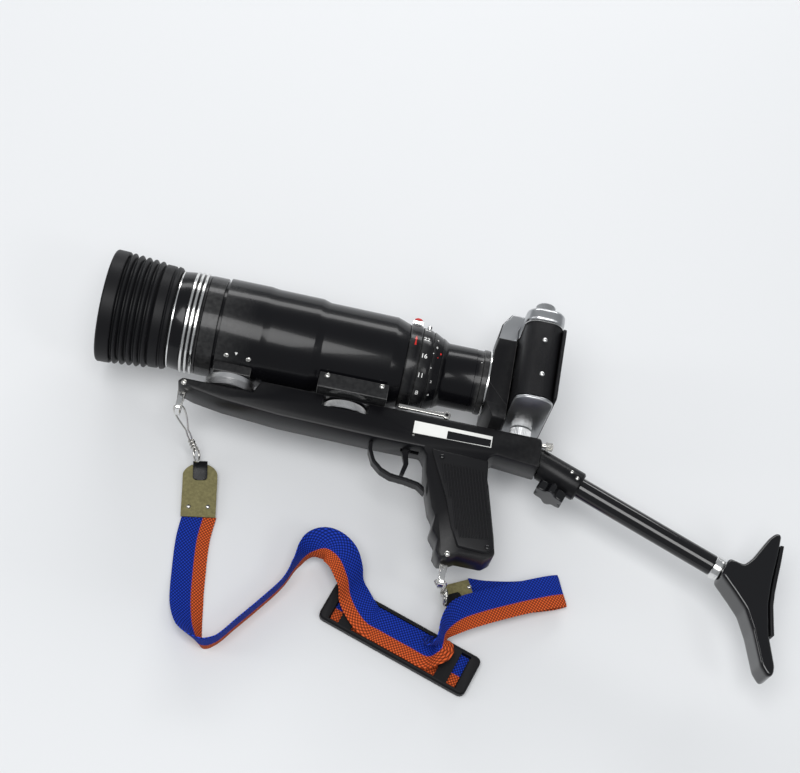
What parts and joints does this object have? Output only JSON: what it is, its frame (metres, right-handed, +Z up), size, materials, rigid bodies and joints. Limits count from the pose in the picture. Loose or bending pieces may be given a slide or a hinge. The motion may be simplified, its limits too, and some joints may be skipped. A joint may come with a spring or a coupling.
{
  "type": "telephoto camera gun",
  "caption": "Reflex camera and telephoto lens on a shoulder gunstock with pistol grip, trigger, focus wheel, shoulder rest and two-colour strap.",
  "frame": {"origin": "middle of the camera's right end, on the ground", "axes": "the gun lies on its right side: -X towards the lens hood, +X towards the shoulder rest, +Y towards the top of the gun, +Z up, out of the gun's left side"},
  "size_m": [0.6055, 0.3224, 0.1384],
  "materials": {
    "lens_black": "semi-gloss black enamel",
    "silver_rings": "bright turned metal with black lines",
    "hood_rubber": "matt black rubber",
    "optical_glass": "coated optical glass",
    "turned_aluminium": "turned and knurled aluminium",
    "stock_black": "satin black paint on cast metal",
    "grip_plastic": "ribbed black plastic",
    "gloss_black": "glossy black moulding",
    "plated_steel": "nickel plated steel",
    "label": "printed two-tone plate",
    "leatherette": "grained black leatherette",
    "satin_chrome": "satin chrome plating",
    "camera_black": "satin black enamel",
    "mirror_glass": "front-silvered mirror",
    "webbing": "woven two-colour webbing",
    "suede": "olive suede"
  },
  "bodies": {
    "frame": {"lens_barrel": "lens_black", "lens_mount_ring": "silver_rings", "rear_element": "optical_glass", "iris": "lens_black", "lens_foot": "stock_black", "focus_housing": "stock_black", "gunstock_frame": "stock_black", "nameplate": "label", "grip_panel_left": "grip_plastic", "grip_panel_right": "grip_plastic", "trigger_guard": "stock_black", "trigger_pin": "plated_steel", "stock_socket": "stock_black", "camera_body": "leatherette", "top_cover": "satin_chrome", "base_plate": "satin_chrome", "mirror_box": "camera_black", "prism_cover": "satin_chrome", "pentaprism": "optical_glass", "eyepiece": "gloss_black", "film_gate": "camera_black", "front_swivel_lug": "plated_steel", "rear_swivel_lug": "plated_steel"},
    "focus_cell": {"front_barrel": "lens_black", "front_ring": "silver_rings", "front_element": "optical_glass", "rubber_hood": "hood_rubber"},
    "focus_drive": {"focus_wheel": "turned_aluminium"},
    "preset": {"preset_ring": "lens_black", "preset_knob": "turned_aluminium"},
    "aperture": {"aperture_ring": "lens_black"},
    "clamp": {"lens_clamp_wheel": "turned_aluminium"},
    "camera_screw": {"camera_screw_knob": "turned_aluminium"},
    "thumb": {"thumb_screw": "plated_steel"},
    "star": {"star_knob": "gloss_black"},
    "stock": {"stock_tube": "stock_black", "stock_collar": "turned_aluminium"},
    "rest": {"shoulder_rest": "gloss_black", "rest_pad": "hood_rubber"},
    "trigger_lever": {"trigger": "stock_black"},
    "rod": {"release_rod": "plated_steel"},
    "release": {"release_pin": "plated_steel"},
    "mirror": {"reflex_mirror": "mirror_glass"},
    "rewind": {"rewind_knob": "satin_chrome"},
    "dial": {"speed_dial": "satin_chrome"},
    "wind": {"wind_lever": "satin_chrome"},
    "button": {"shutter_button": "satin_chrome"},
    "timer": {"self_timer_lever": "satin_chrome"},
    "door": {"back_door": "leatherette"},
    "swivel_front": {"front_swivel": "plated_steel"},
    "swivel_rear": {"rear_swivel": "plated_steel"},
    "sling": {"front_snap_hook": "plated_steel", "front_d_ring": "plated_steel", "front_tab": "suede", "rear_snap_hook": "plated_steel", "rear_d_ring": "plated_steel", "rear_tab": "suede", "strap_webbing": "webbing", "shoulder_pad": "hood_rubber", "pad_strip": "webbing"}
  },
  "joints": [
    {"name": "focus_slide", "type": "slide", "parent": "frame", "child": "focus_cell", "axis": [-1, 0, 0], "range_m": [0, 0.018]},
    {"name": "focus_turn", "type": "hinge", "parent": "frame", "child": "focus_drive", "pos_m": [-0.2515, 0, 0.069], "axis": [0, 1, 0], "range_deg": [0, 207]},
    {"name": "preset_turn", "type": "hinge", "parent": "frame", "child": "preset", "pos_m": [-0.0325, 0, 0.069], "axis": [-1, 0, 0], "range_deg": [0, 60]},
    {"name": "aperture_turn", "type": "hinge", "parent": "frame", "child": "aperture", "pos_m": [-0.0325, 0, 0.069], "axis": [1, 0, 0], "range_deg": [0, 150]},
    {"name": "clamp_turn", "type": "hinge", "parent": "frame", "child": "clamp", "pos_m": [-0.1515, 0, 0.069], "axis": [0, 1, 0], "range_deg": [-180, 180]},
    {"name": "camera_screw_turn", "type": "hinge", "parent": "frame", "child": "camera_screw", "pos_m": [0.0005, 0, 0.069], "axis": [0, 1, 0], "range_deg": [-180, 180]},
    {"name": "thumb_turn", "type": "hinge", "parent": "frame", "child": "thumb", "pos_m": [0.019, -0.0522, 0.08], "axis": [1, 0, 0], "range_deg": [-180, 180]},
    {"name": "star_turn", "type": "hinge", "parent": "frame", "child": "star", "pos_m": [0.03998, -0.072, 0.069], "axis": [-0.3502, -0.9367, 0], "range_deg": [-180, 180]},
    {"name": "stock_slide", "type": "slide", "parent": "frame", "child": "stock", "axis": [0.9367, -0.3502, 0], "range_m": [0, 0.025]},
    {"name": "rest_turn", "type": "hinge", "parent": "stock", "child": "rest", "pos_m": [0.1861, -0.12664, 0.069], "axis": [0.9367, -0.3502, 0], "range_deg": [-90, 90]},
    {"name": "trigger_pull", "type": "hinge", "parent": "frame", "child": "trigger_lever", "pos_m": [-0.0905, -0.0681, 0.069], "axis": [0, 0, 1], "range_deg": [0, 12], "stiffness_Nm_per_rad": 0.4, "springref_deg": -2.86},
    {"name": "rod_slide", "type": "slide", "parent": "frame", "child": "rod", "axis": [-1, 0, 0], "range_m": [0, 0.0045]},
    {"name": "release_slide", "type": "slide", "parent": "frame", "child": "release", "axis": [0, 1, 0], "range_m": [0, 0.0023]},
    {"name": "mirror_flip", "type": "hinge", "parent": "frame", "child": "mirror", "pos_m": [-0.0045, 0.0135, 0.069], "axis": [0, 0, -1], "range_deg": [0, 45], "stiffness_Nm_per_rad": 0.02, "springref_deg": -11.46},
    {"name": "rewind_turn", "type": "hinge", "parent": "frame", "child": "rewind", "pos_m": [-0.0005, 0, 0.123], "axis": [0, 1, 0], "continuous": true},
    {"name": "dial_turn", "type": "hinge", "parent": "frame", "child": "dial", "pos_m": [-0.0005, 0, 0.036], "axis": [0, 1, 0], "range_deg": [0, 300]},
    {"name": "wind_turn", "type": "hinge", "parent": "frame", "child": "wind", "pos_m": [-0.0015, 0, 0.013], "axis": [0, 1, 0], "range_deg": [0, 110], "stiffness_Nm_per_rad": 0.01},
    {"name": "button_press", "type": "slide", "parent": "frame", "child": "button", "axis": [0, -1, 0], "range_m": [0, 0.0018], "stiffness_N_per_m": 200, "springref_m": -0.001},
    {"name": "timer_turn", "type": "hinge", "parent": "frame", "child": "timer", "pos_m": [-0.0325, 0.012, 0.027], "axis": [1, 0, 0], "range_deg": [0, 90]},
    {"name": "door_swing", "type": "hinge", "parent": "frame", "child": "door", "pos_m": [0.0175, 0, 0.003], "axis": [0, 1, 0], "range_deg": [0, 100]},
    {"name": "front_swivel_turn", "type": "hinge", "parent": "frame", "child": "swivel_front", "pos_m": [-0.2895, -0.0716, 0.069], "axis": [0, 0, 1], "range_deg": [-12, 12]},
    {"name": "rear_swivel_turn", "type": "hinge", "parent": "frame", "child": "swivel_rear", "pos_m": [-0.0455, -0.1766, 0.069], "axis": [0, 0, 1], "range_deg": [-12, 12]},
    {"name": "sling_swing", "type": "hinge", "parent": "frame", "child": "sling", "pos_m": [-0.2895, -0.07875, 0.062], "axis": [-0.9186, 0.3953, 0], "range_deg": [0, 25]}
  ],
  "couplings": [
    {"joint": "focus_turn", "follows": "focus_slide", "rad_per_m": 200},
    {"joint": "rod_slide", "follows": "trigger_pull", "m_per_rad": 0.02},
    {"joint": "release_slide", "follows": "trigger_pull", "m_per_rad": 0.01}
  ]
}
